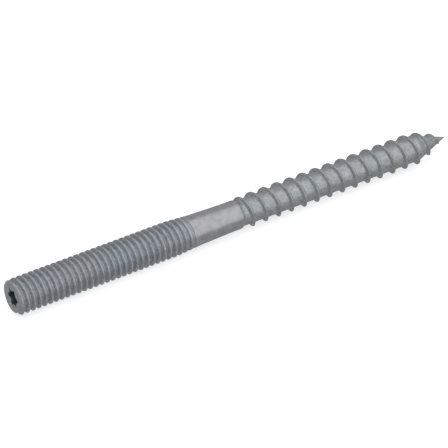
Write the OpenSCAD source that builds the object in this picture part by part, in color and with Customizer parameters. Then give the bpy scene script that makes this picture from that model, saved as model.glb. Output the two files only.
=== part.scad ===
// Hanger bolt: a machine thread with a six-lobe drive recess at one end, a short plain shank,
// and a coarse wood thread with a gimlet point at the other. One solid piece of steel.
//
// Frame: the axis is +X. The driven end face is at x = 0 and the point is at +X. The bolt lies
// along the ground, so +Z is up. Lengths are in millimetres and both threads are right-handed.

/* [Lengths along the axis] */
// From the driven end face to where the machine thread has run out
machine_len = 32; // [20:1:40]
// Plain shank between the two threads
shank_len = 8; // [4:0.5:16]
// From the start of the wood thread to the tip
wood_len = 40; // [24:1:50]

/* [Machine thread] */
// Diameter over the crests, a little under the nominal 6
machine_d = 5.82; // [5.7:0.02:6.2]
// Pitch
machine_pitch = 1; // [0.8:0.05:1.25]
// Depth of the groove from crest to root
machine_depth = 0.56; // [0.45:0.01:0.6]
// Width of the flat that is left on the crest
machine_land = 0.13; // [0.1:0.01:0.2]
// Length over which the groove fades out towards the shank
machine_fade = 4; // [3:0.5:6]
// Turn of the groove's start about the axis, in degrees
machine_phase = 190; // [0:5:355]

/* [Driven end] */
// Diameter of the flat end face
end_d = 5.3; // [5.1:0.02:5.5]
// Length of the chamfer behind the end face
end_chamfer = 0.35; // [0.25:0.05:0.6]
// Six-lobe recess, across two opposite lobes
lobe_d = 3.35; // [3.2:0.05:3.5]
// Six-lobe recess, across two opposite flutes
flute_d = 2.4; // [2.3:0.05:2.5]
// Radius of the rounded end of each lobe
lobe_round = 0.27; // [0.24:0.01:0.3]
// Depth of the recess down to the rim of its cone
recess_depth = 2.4; // [1.5:0.1:3.5]
// Depth of the cone that closes the recess
recess_cone = 0.5; // [0.3:0.05:0.8]
// Turn of the recess about the axis, in degrees
recess_turn = 20; // [0:1:59]

/* [Shank] */
// Diameter where the machine thread runs out
collar_d = 5.12; // [4.96:0.02:5.3]
// Diameter next to the wood thread
shank_d = 4.76; // [4.5:0.02:4.88]
// Length of the even part next to the wood thread; before it the shank narrows
shank_even = 2; // [1:0.5:3]

/* [Wood thread] */
// Diameter over the crests
wood_d = 5.3; // [5.1:0.05:5.6]
// Diameter of the core between the crests
wood_core_d = 4.24; // [3.9:0.02:4.3]
// Pitch
wood_pitch = 2.42; // [2:0.02:3]
// Width of the narrow flat on the crest
wood_land = 0.12; // [0.08:0.01:0.2]
// Included angle of the two flanks, in degrees
wood_angle = 60; // [50:1:65]
// Length over which the ridge rises out of the shank
wood_rise = 1.2; // [1:0.1:3]
// Length of the tapered point
point_len = 6; // [5:0.5:10]
// Length over which the ridge sinks into the point at the tip
ridge_fade = 3; // [2:0.5:4.5]
// Turn of the ridge's start about the axis, in degrees
wood_phase = 265; // [0:5:355]

/* [Hidden] */
$fn = 96;

steel = [0.60, 0.62, 0.63];

// Straight facets in one turn of each thread
machine_facets = 24;
wood_facets = 32;

// Places along the axis
wood_start = machine_len + shank_len;
tip = wood_start + wood_len;
point_start = tip - point_len;

// Machine thread groove: 60 degree flanks, a narrow flat root, and a mouth just clear of the crest
groove_flank = tan(30);
groove_mouth = (machine_pitch - machine_land) / 2;
groove_floor = groove_mouth - machine_depth * groove_flank;
groove_root_r = machine_d / 2 - machine_depth;
groove_clear = 0.07;
fade_start = machine_len - machine_fade;
// The root climbs out through the tapered body during the second half of the fade
climb_start = machine_len - machine_fade / 2;
climb_end = machine_len + machine_pitch / 2;
climb = collar_d / 2 + groove_clear - groove_root_r;

// Six-lobe outline: round lobes, and between them hollow flutes whose arcs touch the lobes
lobes = 6;
lobe_arc_steps = 8;
flute_arc_steps = 6;
half_step = 180 / lobes;
lobe_centre = lobe_d / 2 - lobe_round;
flute_round = (pow(lobe_centre, 2) + pow(flute_d / 2, 2) - pow(lobe_round, 2)
        - lobe_centre * flute_d * cos(half_step))
    / (2 * (lobe_round + lobe_centre * cos(half_step)) - flute_d);
flute_centre = flute_d / 2 + flute_round;
// Direction in which a lobe's arc meets the next flute's, from the lobe's own
touch_angle = atan2(
    flute_centre * sin(half_step),
    flute_centre * cos(half_step) - lobe_centre
);

// Wood thread ridge: its base is sunk this share of the core's radius into the core
ridge_sink = 0.12;
ridge_flank = tan(wood_angle / 2);
// The core narrows to its own diameter over this length, under the first turn of the ridge
core_neck = 0.6;
// The ridge fades this far short of the tip
ridge_stop = 0.5;
// Least height the ridge keeps above its own base, so that its outline never closes up
ridge_least = 0.02;

// The recess's cutter starts this far in front of the end face
recess_over = 0.5;
// Its cone begins this much inside the flutes, overlaps the straight part and ends blunt
cone_inset = 0.05;
cone_overlap = 0.01;
cone_end_r = 0.1;

// 0 before a, 1 after b, straight in between
function ramp(x, a, b) = min(1, max(0, (x - a) / (b - a)));

// Radius of the core, height of the ridge on it and radius of the ridge's crest
function core_r(x) = wood_core_d / 2 * (1 - ramp(x, point_start, tip));
function ridge_h(x) = (wood_d - wood_core_d) / 2
    * ramp(x, wood_start, wood_start + wood_rise) * (1 - ramp(x, tip - ridge_fade, tip));
function crest_r(x) = core_r(x) + ridge_h(x);

// Radius of the machine groove's root at a place along the axis
function root_r(x) = groove_root_r + climb * ramp(x, climb_start, climb_end);

// The [x, r] points of a profile, turned to angle a about the X axis
function station(profile, a) = [for (p = profile) [p[0], p[1] * cos(a), p[1] * sin(a)]];

// Outline of the groove at a place on the axis, in the half plane above it
function groove_profile(x) = let (
        root = root_r(x),
        mouth = machine_d / 2 + groove_clear,
        half = groove_floor + (mouth - root) * groove_flank
    )
    [[x - groove_floor, root], [x + groove_floor, root], [x + half, mouth], [x - half, mouth]];

// Outline of the ridge at a place on the axis
function ridge_profile(x) = let (
        base = core_r(x) * (1 - ridge_sink),
        crest = max(crest_r(x), base + ridge_least),
        half = wood_land / 2 + (crest - base) * ridge_flank
    )
    [[x - half, base], [x + half, base], [x + wood_land / 2, crest], [x - wood_land / 2, crest]];

// Closed solid through a list of stations that all have the same number of points
module swept(stations) {
    n = len(stations[0]);
    last = len(stations) - 1;
    sides = [
        for (i = [0 : last - 1], j = [0 : n - 1])
            let (a = i * n + j, b = i * n + (j + 1) % n)
            each [[a, b + n, b], [a, a + n, b + n]]
    ];
    first_cap = [for (j = [0 : n - 1]) j];
    last_cap = [for (j = [n - 1 : -1 : 0]) last * n + j];
    polyhedron([for (s = stations) each s], concat([first_cap], sides, [last_cap]));
}

// Turned blank: chamfered end, thread body, shank, core and point
module blank() {
    rotate([0, 90, 0])
        rotate_extrude()
            polygon([
                [0, 0],
                [end_d / 2, 0],
                [machine_d / 2, end_chamfer],
                [machine_d / 2, fade_start],
                [collar_d / 2, machine_len],
                [shank_d / 2, wood_start - shank_even],
                [shank_d / 2, wood_start],
                [wood_core_d / 2, wood_start + core_neck],
                [wood_core_d / 2, point_start],
                [0, tip]
            ]);
}

// Cutter for the machine thread, from beyond the end face to where it leaves the surface
module machine_groove() {
    turns = (climb_end + machine_pitch) / machine_pitch;
    steps = ceil(turns * machine_facets);
    swept([
        for (i = [0 : steps])
            station(
                groove_profile(-machine_pitch + i / machine_facets * machine_pitch),
                machine_phase + i * 360 / machine_facets
            )
    ]);
}

// Ridge of the wood thread, from inside the shank to just short of the tip
module wood_ridge() {
    length = tip - ridge_stop - wood_start;
    steps = floor(length / wood_pitch * wood_facets);
    swept([
        for (i = [0 : steps])
            station(
                ridge_profile(wood_start + i / wood_facets * wood_pitch),
                wood_phase + i * 360 / wood_facets
            )
    ]);
}

// Points of an arc about a centre, turned with its lobe to the angle turn
function arc(centre, r, from, to, steps, turn) = [
    for (i = [0 : steps])
        let (
            a = from + (to - from) * i / steps,
            p = [centre[0] + r * cos(a), centre[1] + r * sin(a)]
        )
        [p[0] * cos(turn) - p[1] * sin(turn), p[0] * sin(turn) + p[1] * cos(turn)]
];

// Six-lobe outline, one lobe and the flute after it at a time
module six_lobe() {
    flute_at = [flute_centre * cos(half_step), flute_centre * sin(half_step)];
    polygon([
        for (k = [0 : lobes - 1])
            let (
                turn = k * 2 * half_step,
                lobe = arc([lobe_centre, 0], lobe_round, -touch_angle, touch_angle,
                    lobe_arc_steps, turn),
                flute = arc(flute_at, flute_round, 180 + touch_angle,
                    180 + 2 * half_step - touch_angle, flute_arc_steps, turn)
            )
            each concat(lobe, [for (i = [1 : flute_arc_steps - 1]) flute[i]])
    ]);
}

// Drive recess in the end face, closed by a shallow cone
module drive_recess() {
    rotate([0, 90, 0]) {
        translate([0, 0, -recess_over])
            linear_extrude(recess_depth + recess_over)
                rotate(recess_turn)
                    six_lobe();
        translate([0, 0, recess_depth - cone_overlap])
            cylinder(r1 = flute_d / 2 - cone_inset, r2 = cone_end_r, h = recess_cone);
    }
}

module hanger_bolt() {
    color(steel)
        difference() {
            union() {
                blank();
                wood_ridge();
            }
            machine_groove();
            drive_recess();
        }
}

hanger_bolt();
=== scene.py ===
"""A zinc-coated hanger bolt lying on a pale studio floor.

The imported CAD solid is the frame. It is replaced by a finer skin of the same bolt, in the same place:
rounded crests and roots, the threads' run-outs, the chamfered end and the six-lobe recess.
The shape is worked out in millimetres, as in the CAD source, and turned into metres once.
"""
import math

import bpy
import numpy as np
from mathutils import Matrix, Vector


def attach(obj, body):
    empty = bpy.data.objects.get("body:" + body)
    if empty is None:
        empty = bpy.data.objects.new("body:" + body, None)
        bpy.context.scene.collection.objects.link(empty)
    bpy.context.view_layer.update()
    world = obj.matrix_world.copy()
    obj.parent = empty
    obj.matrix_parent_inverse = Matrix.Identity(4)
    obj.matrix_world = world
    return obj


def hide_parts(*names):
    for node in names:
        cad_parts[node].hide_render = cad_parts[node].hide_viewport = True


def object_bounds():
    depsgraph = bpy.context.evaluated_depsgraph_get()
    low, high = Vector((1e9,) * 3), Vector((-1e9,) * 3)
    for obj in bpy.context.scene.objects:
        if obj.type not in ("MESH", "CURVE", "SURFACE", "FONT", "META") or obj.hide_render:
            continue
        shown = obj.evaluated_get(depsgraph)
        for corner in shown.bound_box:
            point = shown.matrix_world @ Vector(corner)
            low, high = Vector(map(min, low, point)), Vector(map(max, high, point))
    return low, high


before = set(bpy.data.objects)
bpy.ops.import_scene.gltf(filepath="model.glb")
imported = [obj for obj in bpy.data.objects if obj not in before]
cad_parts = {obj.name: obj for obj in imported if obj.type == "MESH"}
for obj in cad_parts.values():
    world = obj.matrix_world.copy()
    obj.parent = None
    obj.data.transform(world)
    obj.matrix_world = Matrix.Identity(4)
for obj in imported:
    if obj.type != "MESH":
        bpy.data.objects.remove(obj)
cad_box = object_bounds()

# ---------------------------------------------------------------- shape, in millimetres
MM = 0.001
LENGTH = (cad_box[1][0] - cad_box[0][0]) / MM
BODY_R = (cad_box[1][2] - cad_box[0][2]) / 2 / MM
SKIN_INSET = 0.004                # how far the skin stays inside the solid's box

MACHINE_LEN = 32.0
SHANK_LEN = 8.0
WOOD_START = MACHINE_LEN + SHANK_LEN
FLANK = math.tan(math.radians(30))    # both threads have 60 degrees between their flanks

# Machine thread
MACHINE_R = BODY_R - SKIN_INSET
MACHINE_PITCH = 1.0
MACHINE_DEPTH = 0.56
MACHINE_LAND = 0.13
MACHINE_FADE = 4.0
MACHINE_PHASE = 190.0
MACHINE_ROOT_R = MACHINE_R - MACHINE_DEPTH
GROOVE_END = MACHINE_LEN + MACHINE_PITCH / 2
GROOVE_LIFT = 0.07                # how far the root ends above the collar
GROOVE_ROUND = 0.10               # width of the band that rounds the root
CREST_ROUND = 0.05                # and the crest
NO_GROOVE_R = 9.0                 # radius of a groove that cuts nothing

# Driven end and its recess
END_R = 2.65
END_CHAMFER = 0.35
LOBE_R = 1.675
FLUTE_R = 1.2
LOBE_ROUND = 0.27
RECESS_DEPTH = 2.4
RECESS_CONE = 0.5
RECESS_TURN = 50
RECESS_LEAD = 0.09                # how far the rounded lip reaches out and down
HALF_LOBE = math.radians(30)      # from the middle of a lobe to the middle of a flute

# Shank
COLLAR_R = 2.56
SHANK_R = 2.38
SHANK_EVEN = 2.0
TAPER_START = 2.0                 # the blank's corners are sharp before this place
TAPER_BLEND = 0.8
TAPER_SAMPLES = 9

# Wood thread
WOOD_R = 2.65
WOOD_CORE_R = 2.12
WOOD_PITCH = 2.42
WOOD_LAND = 0.12
WOOD_RISE = 1.2
WOOD_NECK = 0.6
WOOD_PHASE = 265.0
WOOD_HEIGHT = WOOD_R - WOOD_CORE_R
POINT_LEN = 6.0
POINT_START = LENGTH - POINT_LEN
RIDGE_FADE = 3.0
RIDGE_STOP = 0.5
RIDGE_END = LENGTH - RIDGE_STOP
RIDGE_ROUND = 0.06                # width of the band that rounds the crest
FILLET = 0.16                     # and of the fillet between ridge and core
TIP_FILLET = 0.01
FILLET_STOP = 0.2                 # the fillet is down to TIP_FILLET this far from the tip

# ---------------------------------------------------------------- points of the skin, in millimetres
COLUMNS = 96                      # straight columns of points round the bolt
RECESS_SPLIT = 3                  # points of the recess's outline for each column
CHAMFER_RINGS = (0.0, 0.12, 0.24, END_CHAMFER)
SHANK_STEP = 0.45
SHANK_LAST = 0.3                  # the even steps stop this far before the wood thread
SHANK_CLOSE = 0.05                # one more ring lies this far before it
TIP_RINGS = 4
TIP_CLOSE = 0.12
RING_GAP = 0.012                  # a thread's line that comes closer to a ring is left out
# Distances from the middle of a groove or a ridge at which its lines of points run
MACHINE_LINES = (0.07, 0.13, 0.20, 0.30, 0.40, 0.455)
WOOD_LINES = (0.05, 0.10, 0.17, 0.26, 0.35, 0.42, 0.49, 0.57, 0.68, 0.85, 1.05)
LIP_BEND = 0.3                    # how round the lip is: 0.5 would be a plain chamfer
WALL_DEPTHS = (0.3, 0.8, 1.6, RECESS_DEPTH)
FLOOR_RING = (RECESS_DEPTH + 0.02, FLUTE_R - 0.05)
CONE_RING = (RECESS_DEPTH + RECESS_CONE * 0.8, 0.25)
SHARP_ANGLE = 50                  # degrees between faces that meet in a sharp edge

# ---------------------------------------------------------------- looks that vary over the bolt
# Tints of the coating, and how much lighter or darker it is on (machine, wood) roots and crests: each
# thread's tone, with painted shade in the roots and a painted highlight on the crests
MACHINE_COAT = (1.107, 1.146, 1.199)
SHANK_COAT = (0.985, 0.963, 0.964)
WOOD_COAT = (0.965, 0.985, 0.99)
ROOT_TONE_AND_PAINTED_SHADE = (0.94, 1.11)
CREST_TONE_AND_PAINTED_HIGHLIGHT = (1.04, 1.13)
COAT_BLENDS = (3.5, 1.5)          # machine to shank tint: millimetres before and after MACHINE_LEN
WOOD_BLEND = 0.3                  # shank to wood tint: either side of WOOD_START
# Painted shade in the recess: the tint there is darkened down to this factor at the floor, and the lip
# and the walls get a share of it
RECESS_PAINTED_SHADE = 0.4
LIP_PAINTED_SHADE = 0.1
WALL_PAINTED_SHADE = 0.3                  # share of the recess's painted shade at the top of its wall, and 1 more for each millimetre down
# Rubbed edges: how far below a crest the rubbing starts and is full, and where it is on the rim
MACHINE_RUBBED = (0.12, 0.02)
WOOD_RUBBED = (0.14, 0.04)
RIM_RUBBED = (0.06, 0.2)
RUBBED_STOP = 1.0                 # no rubbing on the last of the run-out
LIP_WEAR = 0.6
WOOD_WEAR = 0.35

# ---------------------------------------------------------------- zinc coating
# Noises are (features per metre, detail), bumps are (strength, distance in metres)
CLOUDS = (260.0, 2.0)
MOTTLE = (900.0, 5.0)
SPECKLE = (2600.0, 4.0)
LUMPS = (2200.0, 2.0)
GRAIN = (9000.0, 3.0)
RINGS = (7000.0, 3.0)
NOISE_SPAN = (0.3, 0.7)           # the part of a noise's range that it fills
CLOUD_SPAN = (0.4, 0.6)
PATCH_SPAN = (0.42, 0.62)
RUBBED_SPAN = (0.35, 0.6)
METALLIC = 0.7
CLOUD_COOL = (0.955, 1.006, 1.045, 1.0)
CLOUD_WARM = (0.985, 0.994, 1.020, 1.0)
MOTTLE_RANGE = (0.255, 0.345)
SPECKLE_RANGE = (0.78, 1.22)
# Patchy darkening of the thread roots: partly grime, partly painted shade
ROOT_GRIME_AND_SHADE = 0.6
ROOT_GRIME_AND_SHADE_TINT = (0.66, 0.66, 0.64, 1.0)
WEAR = 0.25
WEAR_COLOUR = (0.46, 0.47, 0.48, 1.0)
ROOT_ROUGH = 0.48
CREST_ROUGH = 0.34
ROUGH_MOTTLE = 0.035
ROUGH_RINGS = 0.02
LUMP_BUMP = (0.25, 0.00004)
GRAIN_BUMP = (0.3, 0.00002)
RING_BUMP = (0.2, 0.00001)

# ---------------------------------------------------------------- studio, in metres and degrees
FLOOR_SIZE = 12.0
FLOOR_MIDDLE = (0.04, 0.0)
FLOOR_GREY = 0.52
FLOOR_GLOW = 0.63
FLOOR_ROUGH = 0.9
FLOOR_SPECULAR = 0.2

# Softboxes stand on an arc over the bolt, edge to edge. Angles are from overhead towards the
# camera's side, the way the bolt's round surface sees them.
ARC_RADIUS = 1.2
SOFTBOX_LENGTH = 2.6
SOFTBOX_OFFSET = 0.35
SOFTBOX_RADIANCE = 1.0
SOFTBOX_EDGES = (-25.0, 36.0, 98.0)

SKY_GREY = 0.58
GROUND_GREY = 0.38
HORIZON_SOFTNESS = 0.12

CAMERA_AZIMUTH = -31.9
CAMERA_ELEVATION = 36.9
CAMERA_DISTANCE = 0.486
CAMERA_LENS = 249.4
CAMERA_NEAR = 0.01
CAMERA_AIM = (0.0375, 0.0, 0.0)
CAMERA_AIM_RIGHT = 0.000235
CAMERA_AIM_UP = -0.000676


# ================================================================ shape
def ramp(x, a, b):
    """0 before a, 1 after b, straight between."""
    return np.clip((x - a) / (b - a), 0.0, 1.0)


def soft_max(a, b, k):
    """The larger of two, rounded over a band of width k."""
    h = np.clip(0.5 + 0.5 * (a - b) / k, 0.0, 1.0)
    return b + (a - b) * h + k * h * (1.0 - h)


def soft_min(a, b, k):
    """The smaller of two, rounded over a band of width k."""
    return -soft_max(-a, -b, k)


def blank_r(x):
    """Radius of the turned blank, with its chamfer, tapers and point."""
    places = [0.0, END_CHAMFER, MACHINE_LEN - MACHINE_FADE, MACHINE_LEN,
              WOOD_START - SHANK_EVEN, WOOD_START, WOOD_START + WOOD_NECK, POINT_START, LENGTH]
    radii = [END_R, MACHINE_R, MACHINE_R, COLLAR_R,
             SHANK_R, SHANK_R, WOOD_CORE_R, WOOD_CORE_R, 0.0]
    sharp = np.interp(x, places, radii)
    # The shallow tapers run into each other without a corner
    shifts = np.linspace(-TAPER_BLEND, TAPER_BLEND, TAPER_SAMPLES)
    spread = [np.interp(x + shift, places, radii) for shift in shifts]
    tapers = (x > TAPER_START) & (x < WOOD_START - TAPER_BLEND)
    return np.where(tapers, np.mean(spread, axis=0), sharp)


def turn_centre(angle, start, pitch, phase):
    """Place along the axis where a right-hand helix crosses this angle for the first time."""
    return start + pitch * (angle - phase) / 360.0


def turn_offset(x, angle, start, pitch, phase):
    """Distance along the axis from the nearest turn of a right-hand helix."""
    centre = turn_centre(angle, start, pitch, phase)
    return (x - centre + pitch / 2) % pitch - pitch / 2


def machine_r(x, angle):
    """Radius of the machine thread's groove, its root rounded and climbing out at the end."""
    mouth = (MACHINE_PITCH - MACHINE_LAND) / 2
    floor = mouth - MACHINE_DEPTH * FLANK
    climb = COLLAR_R + GROOVE_LIFT - MACHINE_ROOT_R
    root = MACHINE_ROOT_R + climb * ramp(x, MACHINE_LEN - MACHINE_FADE / 2, GROOVE_END)
    u = np.abs(turn_offset(x, angle, 0.0, MACHINE_PITCH, MACHINE_PHASE))
    groove = soft_max(root, root + (u - floor) / FLANK, GROOVE_ROUND)
    return np.where(x < GROOVE_END, groove, NO_GROOVE_R)


def core_r(x):
    """Radius of the wood thread's core, which tapers to the point."""
    return WOOD_CORE_R * (1 - ramp(x, POINT_START, LENGTH))


def wood_r(x, angle):
    """Radius of the wood thread's ridge, 0 where there is none."""
    height = WOOD_HEIGHT * (1 - ramp(x, LENGTH - RIDGE_FADE, RIDGE_END))
    crest = core_r(x) + height * ramp(x, WOOD_START, WOOD_START + WOOD_RISE)
    u = np.abs(turn_offset(x, angle, WOOD_START, WOOD_PITCH, WOOD_PHASE))
    ridge = soft_min(crest, crest - (u - WOOD_LAND / 2) / FLANK, RIDGE_ROUND)
    return np.where((x > WOOD_START) & (x < RIDGE_END), ridge, 0.0)


def bolt_r(x, angle):
    """Radius of the whole bolt at a place along the axis and an angle round it."""
    body = soft_min(blank_r(x), machine_r(x, angle), CREST_ROUND)
    fillet = FILLET * ramp(LENGTH - x, FILLET_STOP, POINT_LEN) + TIP_FILLET
    return np.where(x > WOOD_START, soft_max(body, wood_r(x, angle), fillet), body)


def lobe_r(angle):
    """Radius of the six-lobe recess: round lobes, and flutes whose arcs touch them."""
    lobe_at = LOBE_R - LOBE_ROUND
    square = lobe_at ** 2 + FLUTE_R ** 2 - LOBE_ROUND ** 2
    flute_round = (square - 2 * lobe_at * FLUTE_R * math.cos(HALF_LOBE)) / (
        2 * (LOBE_ROUND - FLUTE_R + lobe_at * math.cos(HALF_LOBE)))
    flute_at = FLUTE_R + flute_round
    share = LOBE_ROUND / (LOBE_ROUND + flute_round)
    touch_x = lobe_at + share * (flute_at * math.cos(HALF_LOBE) - lobe_at)
    touch = math.atan2(share * flute_at * math.sin(HALF_LOBE), touch_x)
    a = math.radians((angle - RECESS_TURN) % 60.0)
    a = min(a, 2 * HALF_LOBE - a)
    if a < touch:
        return lobe_at * math.cos(a) + math.sqrt(LOBE_ROUND ** 2 - (lobe_at * math.sin(a)) ** 2)
    b = HALF_LOBE - a
    return flute_at * math.cos(b) - math.sqrt(flute_round ** 2 - (flute_at * math.sin(b)) ** 2)


# ================================================================ looks by place
def relief_at(x, r):
    """0 on the floor of a thread, 1 on its crest and on all plain surfaces."""
    machine = ramp(r, MACHINE_ROOT_R, MACHINE_R)
    machine = np.maximum(machine, ramp(x, MACHINE_LEN - MACHINE_FADE, MACHINE_LEN))
    wood = ramp(r, core_r(x), core_r(x) + WOOD_HEIGHT)
    wood = np.maximum(wood, 1 - ramp(x, WOOD_START, WOOD_START + WOOD_NECK))
    return np.where(x < MACHINE_LEN, machine, wood)


def edge_at(x, r):
    """How rubbed: along the crests of both threads and the rim of the end face, 0 elsewhere."""
    machine = ramp(r, MACHINE_R - MACHINE_RUBBED[0], MACHINE_R - MACHINE_RUBBED[1])
    machine = machine * (1 - ramp(x, MACHINE_LEN - MACHINE_FADE, MACHINE_LEN - RUBBED_STOP))
    crest = core_r(x) + WOOD_HEIGHT
    wood = ramp(r, crest - WOOD_RUBBED[0], crest - WOOD_RUBBED[1])
    rim = ramp(x, 0.0, RIM_RUBBED[0]) * (1 - ramp(x, *RIM_RUBBED))
    return np.where(x < MACHINE_LEN, np.maximum(machine, rim), WOOD_WEAR * wood * (x > WOOD_START))


def coat_and_painted_light_at(x, relief, painted_recess_shade):
    """Tint of the coating, by part of the bolt, with painted light and shade: painted shade in the
    thread roots, a painted highlight on the crests and painted shade in the recess.

    The fourth value says how speckled it is: 1 where the bolt is threaded, 0 on the shank.
    """
    shank = ramp(x, MACHINE_LEN - COAT_BLENDS[0], MACHINE_LEN + COAT_BLENDS[1])
    shank = shank * shank * (3 - 2 * shank)
    wood = ramp(x, WOOD_START - WOOD_BLEND, WOOD_START + WOOD_BLEND)
    tint = [m + (s - m) * shank + (w - s) * wood
            for m, s, w in zip(MACHINE_COAT, SHANK_COAT, WOOD_COAT)]
    # Painted shade in the thread roots and a painted highlight on their crests, on the threaded parts
    # only
    low = ROOT_TONE_AND_PAINTED_SHADE[0] + (ROOT_TONE_AND_PAINTED_SHADE[1] - ROOT_TONE_AND_PAINTED_SHADE[0]) * wood
    high = CREST_TONE_AND_PAINTED_HIGHLIGHT[0] + (CREST_TONE_AND_PAINTED_HIGHLIGHT[1] - CREST_TONE_AND_PAINTED_HIGHLIGHT[0]) * wood
    threaded = 1 - shank * (1 - wood)
    shade = 1 + (low + (high - low) * relief - 1) * threaded
    # Painted shade in the recess, deepest at its floor
    shade *= 1 - (1 - RECESS_PAINTED_SHADE) * painted_recess_shade
    return [c * shade for c in tint] + [threaded]


# ================================================================ mesh
class Skin:
    """The mesh as it grows, with what the material is told at each point."""

    def __init__(self):
        self.points = []
        self.faces = []
        self.relief = []
        self.edge = []
        self.coat_and_painted_light = []

    def add(self, x, r, angle, painted_recess_shade=0.0, relief=1.0, edge=0.0):
        """A point at this place, radius and angle. Returns its number."""
        a = math.radians(angle)
        self.points.append((x, r * math.cos(a), r * math.sin(a)))
        self.relief.append(relief)
        self.edge.append(edge)
        self.coat_and_painted_light.extend(coat_and_painted_light_at(x, relief, painted_recess_shade))
        return len(self.points) - 1

    def fan(self, ring, middle, inside=False):
        """Triangles from a ring to one point, turned outwards, or towards the inside of a hollow."""
        for j, corner in enumerate(ring):
            after = ring[(j + 1) % len(ring)]
            self.faces.append((corner, middle, after) if inside else (corner, after, middle))

    def band(self, outer, inner):
        """Four-sided faces between two rings, turned towards the driven end or the axis."""
        for j in range(len(outer)):
            k = (j + 1) % len(outer)
            self.faces.append((outer[j], inner[j], inner[k], outer[k]))

    def zip_columns(self, left, right, xl, xr):
        """Triangles between two neighbouring columns, each a list of points in order of x."""
        i, j = 0, 0
        while i < len(left) - 1 or j < len(right) - 1:
            step_left = j == len(right) - 1
            if not step_left and i < len(left) - 1:
                step_left = abs(xl[i + 1] - xr[j]) < abs(xr[j + 1] - xl[i])
            if step_left:
                self.faces.append((left[i], right[j], left[i + 1]))
                i += 1
            else:
                self.faces.append((left[i], right[j], right[j + 1]))
                j += 1

    def finish(self, name):
        """The object, smooth but for its sharp edges, with its attributes."""
        mesh = bpy.data.meshes.new(name)
        mesh.from_pydata([(x * MM, y * MM, z * MM) for x, y, z in self.points], [], self.faces)
        mesh.validate()
        mesh.polygons.foreach_set("use_smooth", [True] * len(mesh.polygons))
        mesh.set_sharp_from_angle(angle=math.radians(SHARP_ANGLE))
        mesh.attributes.new("relief", "FLOAT", "POINT").data.foreach_set("value", self.relief)
        mesh.attributes.new("edge", "FLOAT", "POINT").data.foreach_set("value", self.edge)
        mesh.attributes.new("coat_and_painted_light", "FLOAT_COLOR", "POINT").data.foreach_set("color", self.coat_and_painted_light)
        mesh.update()
        piece = bpy.data.objects.new(name, mesh)
        bpy.context.collection.objects.link(piece)
        return piece


def ring_places():
    """Places along the axis of the rings of points: the chamfer, the shank and the tip."""
    shank = list(np.arange(GROOVE_END, WOOD_START - SHANK_LAST, SHANK_STEP))
    tip = list(np.linspace(RIDGE_END, LENGTH - TIP_CLOSE, TIP_RINGS))
    return list(CHAMFER_RINGS) + shank + [WOOD_START - SHANK_CLOSE] + tip


def line_places(angle, start, end, pitch, phase, half):
    """Places along the axis where a thread's own lines of points cross one column."""
    offsets = [0.0, *half, *[-o for o in half], pitch / 2]
    centre = turn_centre(angle, start, pitch, phase)
    first = math.floor((start - centre) / pitch) - 1
    last = math.ceil((end - centre) / pitch) + 1
    lines = [centre + k * pitch + o for k in range(first, last) for o in offsets]
    return [x for x in sorted(lines) if start < x < end]


def column_places(angle, rings):
    """All places along one column: its rings, and the threads' lines between them."""
    lines = line_places(angle, 0.0, GROOVE_END, MACHINE_PITCH, MACHINE_PHASE, MACHINE_LINES)
    lines += line_places(angle, WOOD_START, RIDGE_END, WOOD_PITCH, WOOD_PHASE, WOOD_LINES)
    lines = [x for x in lines if np.min(np.abs(np.array(rings) - x)) > RING_GAP]
    return np.array(sorted(rings + lines))


def add_side(skin):
    """The bolt's round side, from the end face's rim to the tip. Returns the rim."""
    rings = ring_places()
    columns = []
    for angle in [360.0 * j / COLUMNS for j in range(COLUMNS)]:
        places = column_places(angle, rings)
        radii = bolt_r(places, np.full(len(places), angle))
        reliefs = relief_at(places, radii)
        edges = edge_at(places, radii)
        ids = [skin.add(x, r, angle, 0.0, relief, edge)
               for x, r, relief, edge in zip(places, radii, reliefs, edges)]
        columns.append((places, ids))
    for j in range(COLUMNS):
        (xl, left), (xr, right) = columns[j], columns[(j + 1) % COLUMNS]
        skin.zip_columns(left, right, xl, xr)
    skin.fan([ids[-1] for _, ids in columns], skin.add(LENGTH - SKIN_INSET, 0.0, 0.0))
    return [ids[0] for _, ids in columns]


def add_end_face(skin, rim, angles):
    """The flat end face, from the rim to a ring with RECESS_SPLIT points for each of the rim's."""
    inner = [skin.add(0.0, (END_R + lobe_r(a)) / 2, a) for a in angles]
    for j in range(COLUMNS):
        first = j * RECESS_SPLIT
        for k in range(first, first + RECESS_SPLIT):
            skin.faces.append((rim[j], inner[k], inner[(k + 1) % len(inner)]))
        last = inner[(first + RECESS_SPLIT) % len(inner)]
        skin.faces.append((rim[j], last, rim[(j + 1) % COLUMNS]))
    return inner


def add_recess(skin, inner, angles):
    """The recess: a rounded lip, straight lobed walls and a shallow cone."""
    # The lip, walls, floor and cone are darkened with painted shade, more the deeper they lie
    rings = [inner]
    bend = RECESS_LEAD * LIP_BEND
    for depth, out in ((0.0, RECESS_LEAD), (bend, bend), (RECESS_LEAD, 0.0)):
        rings.append([skin.add(depth, lobe_r(a) + out, a, LIP_PAINTED_SHADE, 1.0, LIP_WEAR) for a in angles])
    for depth in WALL_DEPTHS:
        rings.append([skin.add(depth, lobe_r(a), a, min(1.0, WALL_PAINTED_SHADE + depth)) for a in angles])
    for depth, radius in (FLOOR_RING, CONE_RING):
        rings.append([skin.add(depth, radius, a, 1.0) for a in angles])
    for outer, nearer in zip(rings, rings[1:]):
        skin.band(outer, nearer)
    skin.fan(rings[-1], skin.add(RECESS_DEPTH + RECESS_CONE, 0.0, 0.0, 1.0), inside=True)


def build_bolt():
    """The whole skin, one closed surface that is turned outwards everywhere."""
    skin = Skin()
    angles = [360.0 * j / COLUMNS / RECESS_SPLIT for j in range(COLUMNS * RECESS_SPLIT)]
    rim = add_side(skin)
    inner = add_end_face(skin, rim, angles)
    add_recess(skin, inner, angles)
    return skin.finish("bolt_skin")


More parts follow.
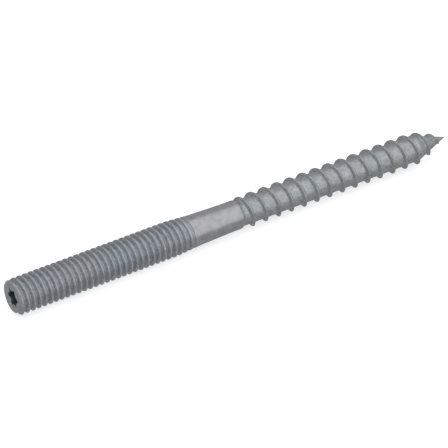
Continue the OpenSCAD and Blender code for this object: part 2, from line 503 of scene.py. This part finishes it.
# ================================================================ materials
def noise(tree, vector, kind):
    """A noise texture on the given coordinates."""
    node = tree.nodes.new("ShaderNodeTexNoise")
    node.inputs["Scale"].default_value, node.inputs["Detail"].default_value = kind
    tree.links.new(vector, node.inputs["Vector"])
    return node.outputs["Fac"]


def remap(tree, value, span, to_low, to_high):
    """A value taken from one range to another, and kept inside it."""
    node = tree.nodes.new("ShaderNodeMapRange")
    node.inputs["From Min"].default_value, node.inputs["From Max"].default_value = span
    node.inputs["To Min"].default_value = to_low
    node.inputs["To Max"].default_value = to_high
    tree.links.new(value, node.inputs["Value"])
    return node.outputs["Result"]


def maths(tree, operation, a, b):
    """Two values joined by an operation."""
    node = tree.nodes.new("ShaderNodeMath")
    node.operation = operation
    tree.links.new(a, node.inputs[0])
    tree.links.new(b, node.inputs[1])
    return node.outputs["Value"]


def blend(tree, mode, factor, a, b):
    """Two colours mixed. The factor may be a plain number, and a colour a plain tuple."""
    node = tree.nodes.new("ShaderNodeMix")
    node.data_type = "RGBA"
    node.blend_type = mode
    # By number, because the node has a socket of each name for every type of value
    for socket, value in ((node.inputs[0], factor), (node.inputs[6], a), (node.inputs[7], b)):
        if isinstance(value, (float, tuple)):
            socket.default_value = value
        else:
            tree.links.new(value, socket)
    return node.outputs[2]


def grey(tree, value):
    """A grey colour from a value."""
    node = tree.nodes.new("ShaderNodeCombineColor")
    for socket in ("Red", "Green", "Blue"):
        tree.links.new(value, node.inputs[socket])
    return node.outputs["Color"]


def attribute(tree, name):
    """What the mesh says at each point under this name."""
    node = tree.nodes.new("ShaderNodeAttribute")
    node.attribute_name = name
    return node.outputs


def ring_vector(tree, where):
    """Coordinates that are the same all round the axis, for the fine rings that rolling leaves."""
    split = tree.nodes.new("ShaderNodeSeparateXYZ")
    tree.links.new(where, split.inputs["Vector"])
    across = tree.nodes.new("ShaderNodeCombineXYZ")
    tree.links.new(split.outputs["Y"], across.inputs["X"])
    tree.links.new(split.outputs["Z"], across.inputs["Y"])
    radius = tree.nodes.new("ShaderNodeVectorMath")
    radius.operation = "LENGTH"
    tree.links.new(across.outputs["Vector"], radius.inputs[0])
    turned = tree.nodes.new("ShaderNodeCombineXYZ")
    tree.links.new(split.outputs["X"], turned.inputs["X"])
    tree.links.new(radius.outputs["Value"], turned.inputs["Y"])
    return turned.outputs["Vector"]


def zinc_colour(tree, where, mottle, grain, relief):
    """Mottled grey in warm and cool clouds, speckled threads, roots darkened in patches by grime and
    painted shade, and rubbed edges.
    """
    coat_and_painted_light = attribute(tree, "coat_and_painted_light")
    edge = attribute(tree, "edge")["Fac"]
    clouds = noise(tree, where, CLOUDS)
    speckle = noise(tree, where, SPECKLE)
    level = grey(tree, remap(tree, mottle, NOISE_SPAN, *MOTTLE_RANGE))
    cloudy = blend(tree, "MIX", remap(tree, clouds, CLOUD_SPAN, 0.0, 1.0), CLOUD_COOL, CLOUD_WARM)
    base = blend(tree, "MULTIPLY", 1.0, level, cloudy)
    # The tint, with the painted shade and highlight of the roots, crests and recess
    base = blend(tree, "MULTIPLY", 1.0, base, coat_and_painted_light["Color"])
    specks = grey(tree, remap(tree, speckle, NOISE_SPAN, *SPECKLE_RANGE))
    base = blend(tree, "MULTIPLY", coat_and_painted_light["Alpha"], base, specks)
    # Patchy darkening of the roots, partly grime and partly painted shade
    low = remap(tree, relief, (0.0, 1.0), ROOT_GRIME_AND_SHADE, 0.0)
    patchy = remap(tree, mottle, PATCH_SPAN, 0.0, 1.0)
    base = blend(tree, "MULTIPLY", maths(tree, "MULTIPLY", low, patchy), base, ROOT_GRIME_AND_SHADE_TINT)
    rubbed = maths(tree, "MULTIPLY", edge, remap(tree, grain, RUBBED_SPAN, 0.0, WEAR))
    return blend(tree, "MIX", rubbed, base, WEAR_COLOUR)


def zinc_roughness(tree, mottle, rings, relief):
    """Matt roots, satin crests, and small differences from the mottling and the rings."""
    rough = remap(tree, relief, (0.0, 1.0), ROOT_ROUGH, CREST_ROUGH)
    for value, amount in ((mottle, ROUGH_MOTTLE), (rings, ROUGH_RINGS)):
        rough = maths(tree, "ADD", rough, remap(tree, value, NOISE_SPAN, -amount, amount))
    return rough


def zinc_bump(tree, layers):
    """Bumps laid one on the other, each a height with its strength and distance."""
    normal = None
    for height, (strength, distance) in layers:
        bump = tree.nodes.new("ShaderNodeBump")
        bump.inputs["Strength"].default_value = strength
        bump.inputs["Distance"].default_value = distance
        tree.links.new(height, bump.inputs["Height"])
        if normal is not None:
            tree.links.new(normal, bump.inputs["Normal"])
        normal = bump.outputs["Normal"]
    return normal


def zinc_material():
    """Dull zinc coating: mottled, darker in the thread roots from grime and painted shade, lighter on
    the crests from a painted highlight and rubbing.
    """
    mat = bpy.data.materials.new("zinc_coating")
    mat.use_nodes = True
    tree = mat.node_tree
    shader = tree.nodes["Principled BSDF"]
    shader.inputs["Metallic"].default_value = METALLIC
    where = tree.nodes.new("ShaderNodeTexCoord").outputs["Object"]
    mottle = noise(tree, where, MOTTLE)
    lumps = noise(tree, where, LUMPS)
    grain = noise(tree, where, GRAIN)
    rings = noise(tree, ring_vector(tree, where), RINGS)
    relief = attribute(tree, "relief")["Fac"]
    tree.links.new(zinc_colour(tree, where, mottle, grain, relief), shader.inputs["Base Color"])
    tree.links.new(zinc_roughness(tree, mottle, rings, relief), shader.inputs["Roughness"])
    layers = ((lumps, LUMP_BUMP), (rings, RING_BUMP), (grain, GRAIN_BUMP))
    tree.links.new(zinc_bump(tree, layers), shader.inputs["Normal"])
    return mat


def floor_material():
    """Pale and matt, with a glow that keeps the bolt's shadow light."""
    mat = bpy.data.materials.new("pale_floor")
    mat.use_nodes = True
    shader = mat.node_tree.nodes["Principled BSDF"]
    shader.inputs["Base Color"].default_value = (FLOOR_GREY, FLOOR_GREY, FLOOR_GREY, 1)
    shader.inputs["Roughness"].default_value = FLOOR_ROUGH
    shader.inputs["Specular IOR Level"].default_value = FLOOR_SPECULAR
    shader.inputs["Emission Color"].default_value = (1, 1, 1, 1)
    shader.inputs["Emission Strength"].default_value = FLOOR_GLOW
    return mat


# ================================================================ studio
def build_floor():
    """A wide pale floor. Reflections look past it, at the darker ground of the world."""
    bpy.ops.mesh.primitive_plane_add(size=FLOOR_SIZE, location=(*FLOOR_MIDDLE, cad_box[0][2]))
    floor = bpy.context.object
    floor.name = "studio_floor"
    floor.data.materials.append(floor_material())
    floor.visible_glossy = False


def build_softbox(name, start, end):
    """A panel that spans the arc from one angle to another."""
    middle = math.radians((start + end) / 2)
    half = math.radians((end - start) / 2)
    data = bpy.data.lights.new(name, "AREA")
    data.shape = "RECTANGLE"
    data.size = SOFTBOX_LENGTH
    data.size_y = 2 * ARC_RADIUS * math.tan(half)
    data.energy = SOFTBOX_RADIANCE * math.pi * data.size * data.size_y
    light = bpy.data.objects.new(name, data)
    light.location = (SOFTBOX_OFFSET, -ARC_RADIUS * math.sin(middle), ARC_RADIUS * math.cos(middle))
    light.rotation_euler = (middle, 0.0, 0.0)
    light.visible_camera = False
    bpy.context.collection.objects.link(light)


def build_softboxes():
    """One panel for each pair of neighbouring edges on the arc."""
    for k, (start, end) in enumerate(zip(SOFTBOX_EDGES, SOFTBOX_EDGES[1:])):
        build_softbox(f"softbox_{k}", start, end)


def build_world():
    """A pale sky that turns softly into a darker ground."""
    world = bpy.data.worlds.new("studio")
    world.use_nodes = True
    tree = world.node_tree
    background = tree.nodes["Background"]
    where = tree.nodes.new("ShaderNodeTexCoord")
    split = tree.nodes.new("ShaderNodeSeparateXYZ")
    tree.links.new(where.outputs["Generated"], split.inputs["Vector"])
    span = (-HORIZON_SOFTNESS, HORIZON_SOFTNESS)
    level = remap(tree, split.outputs["Z"], span, GROUND_GREY, SKY_GREY)
    level.node.interpolation_type = "SMOOTHSTEP"
    tree.links.new(level, background.inputs["Strength"])
    background.inputs["Color"].default_value = (1, 1, 1, 1)
    bpy.context.scene.world = world


def build_camera():
    """A long lens on the bolt, from the driven end's side and above."""
    a = math.radians(CAMERA_AZIMUTH)
    e = math.radians(CAMERA_ELEVATION)
    back = Vector((math.sin(a) * math.cos(e), -math.cos(a) * math.cos(e), math.sin(e)))
    right = Vector((math.cos(a), math.sin(a), 0.0))
    up = back.cross(right)
    aim = Vector(CAMERA_AIM) + right * CAMERA_AIM_RIGHT + up * CAMERA_AIM_UP
    data = bpy.data.cameras.new("camera")
    data.lens = CAMERA_LENS
    data.clip_start = CAMERA_NEAR
    camera = bpy.data.objects.new("camera", data)
    camera.location = aim + back * CAMERA_DISTANCE
    camera.rotation_euler = (-back).to_track_quat("-Z", "Y").to_euler()
    bpy.context.collection.objects.link(camera)
    bpy.context.scene.camera = camera


# ================================================================ scene
bpy.context.scene.view_settings.view_transform = "Standard"
build_camera()
build_world()
build_softboxes()
build_floor()

bolt = build_bolt()
bolt.data.materials.append(zinc_material())
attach(bolt, "root")
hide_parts("hanger_bolt")
